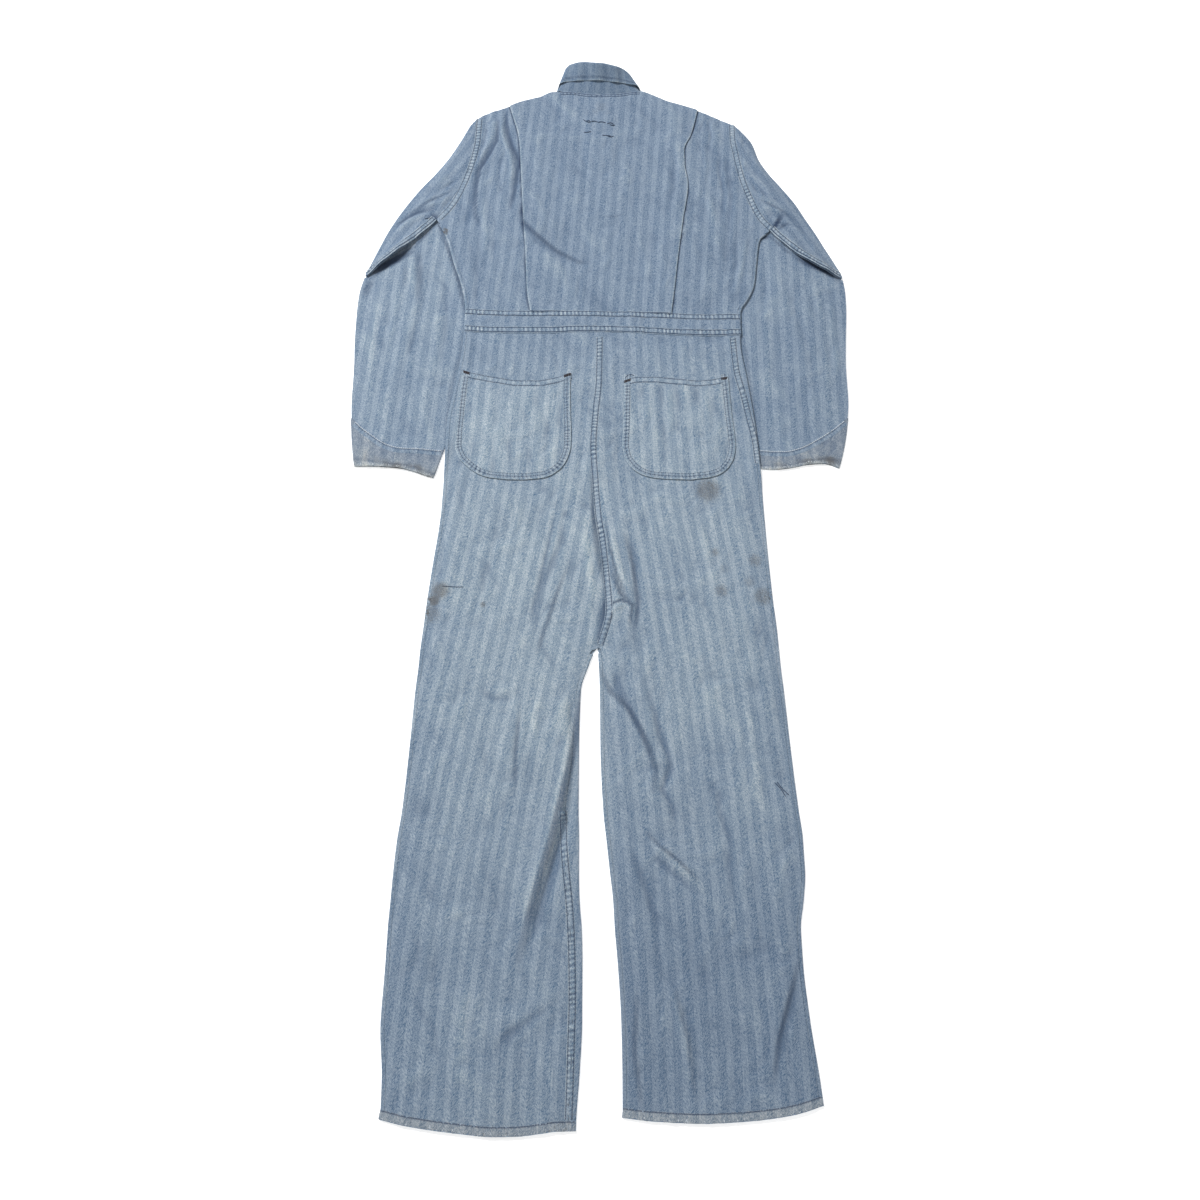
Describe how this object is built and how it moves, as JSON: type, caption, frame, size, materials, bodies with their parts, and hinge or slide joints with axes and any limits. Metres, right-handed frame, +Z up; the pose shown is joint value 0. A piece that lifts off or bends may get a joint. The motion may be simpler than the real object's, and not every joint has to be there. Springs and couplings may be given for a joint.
{
  "type": "work coveralls",
  "caption": "Long-sleeved work coveralls of herringbone twill, laid flat with the back up, with action pleats, a waistband and back patch pockets.",
  "frame": {"origin": "on the surface it lies on, under the middle of the waistband at the centre front", "axes": "+Y from the hems to the collar, +X to the wearer's right with the back up, +Z up off the surface"},
  "size_m": [0.7456, 1.5765, 0.0312],
  "materials": {
    "twill": "matte",
    "cuff_twill": "matte",
    "collar_twill": "matte",
    "button": "satin"
  },
  "bodies": {
    "root": {"back_bodice": "twill", "waistband": "twill", "back_leg_left": "twill", "back_leg_right": "twill", "back_pocket_left": "twill", "back_pocket_right": "twill", "sleeve_left": "twill", "sleeve_right": "twill", "cuff_left": "cuff_twill", "cuff_right": "cuff_twill", "collar_stand": "collar_twill", "collar_fall": "collar_twill", "front_bodice_left": "twill", "front_bodice_right": "twill", "front_leg_left": "twill", "front_leg_right": "twill", "placket": "twill", "fly": "twill", "button_1": "button", "button_2": "button", "button_3": "button", "button_4": "button", "button_5": "button", "button_6": "button", "button_7": "button"}
  },
  "joints": []
}
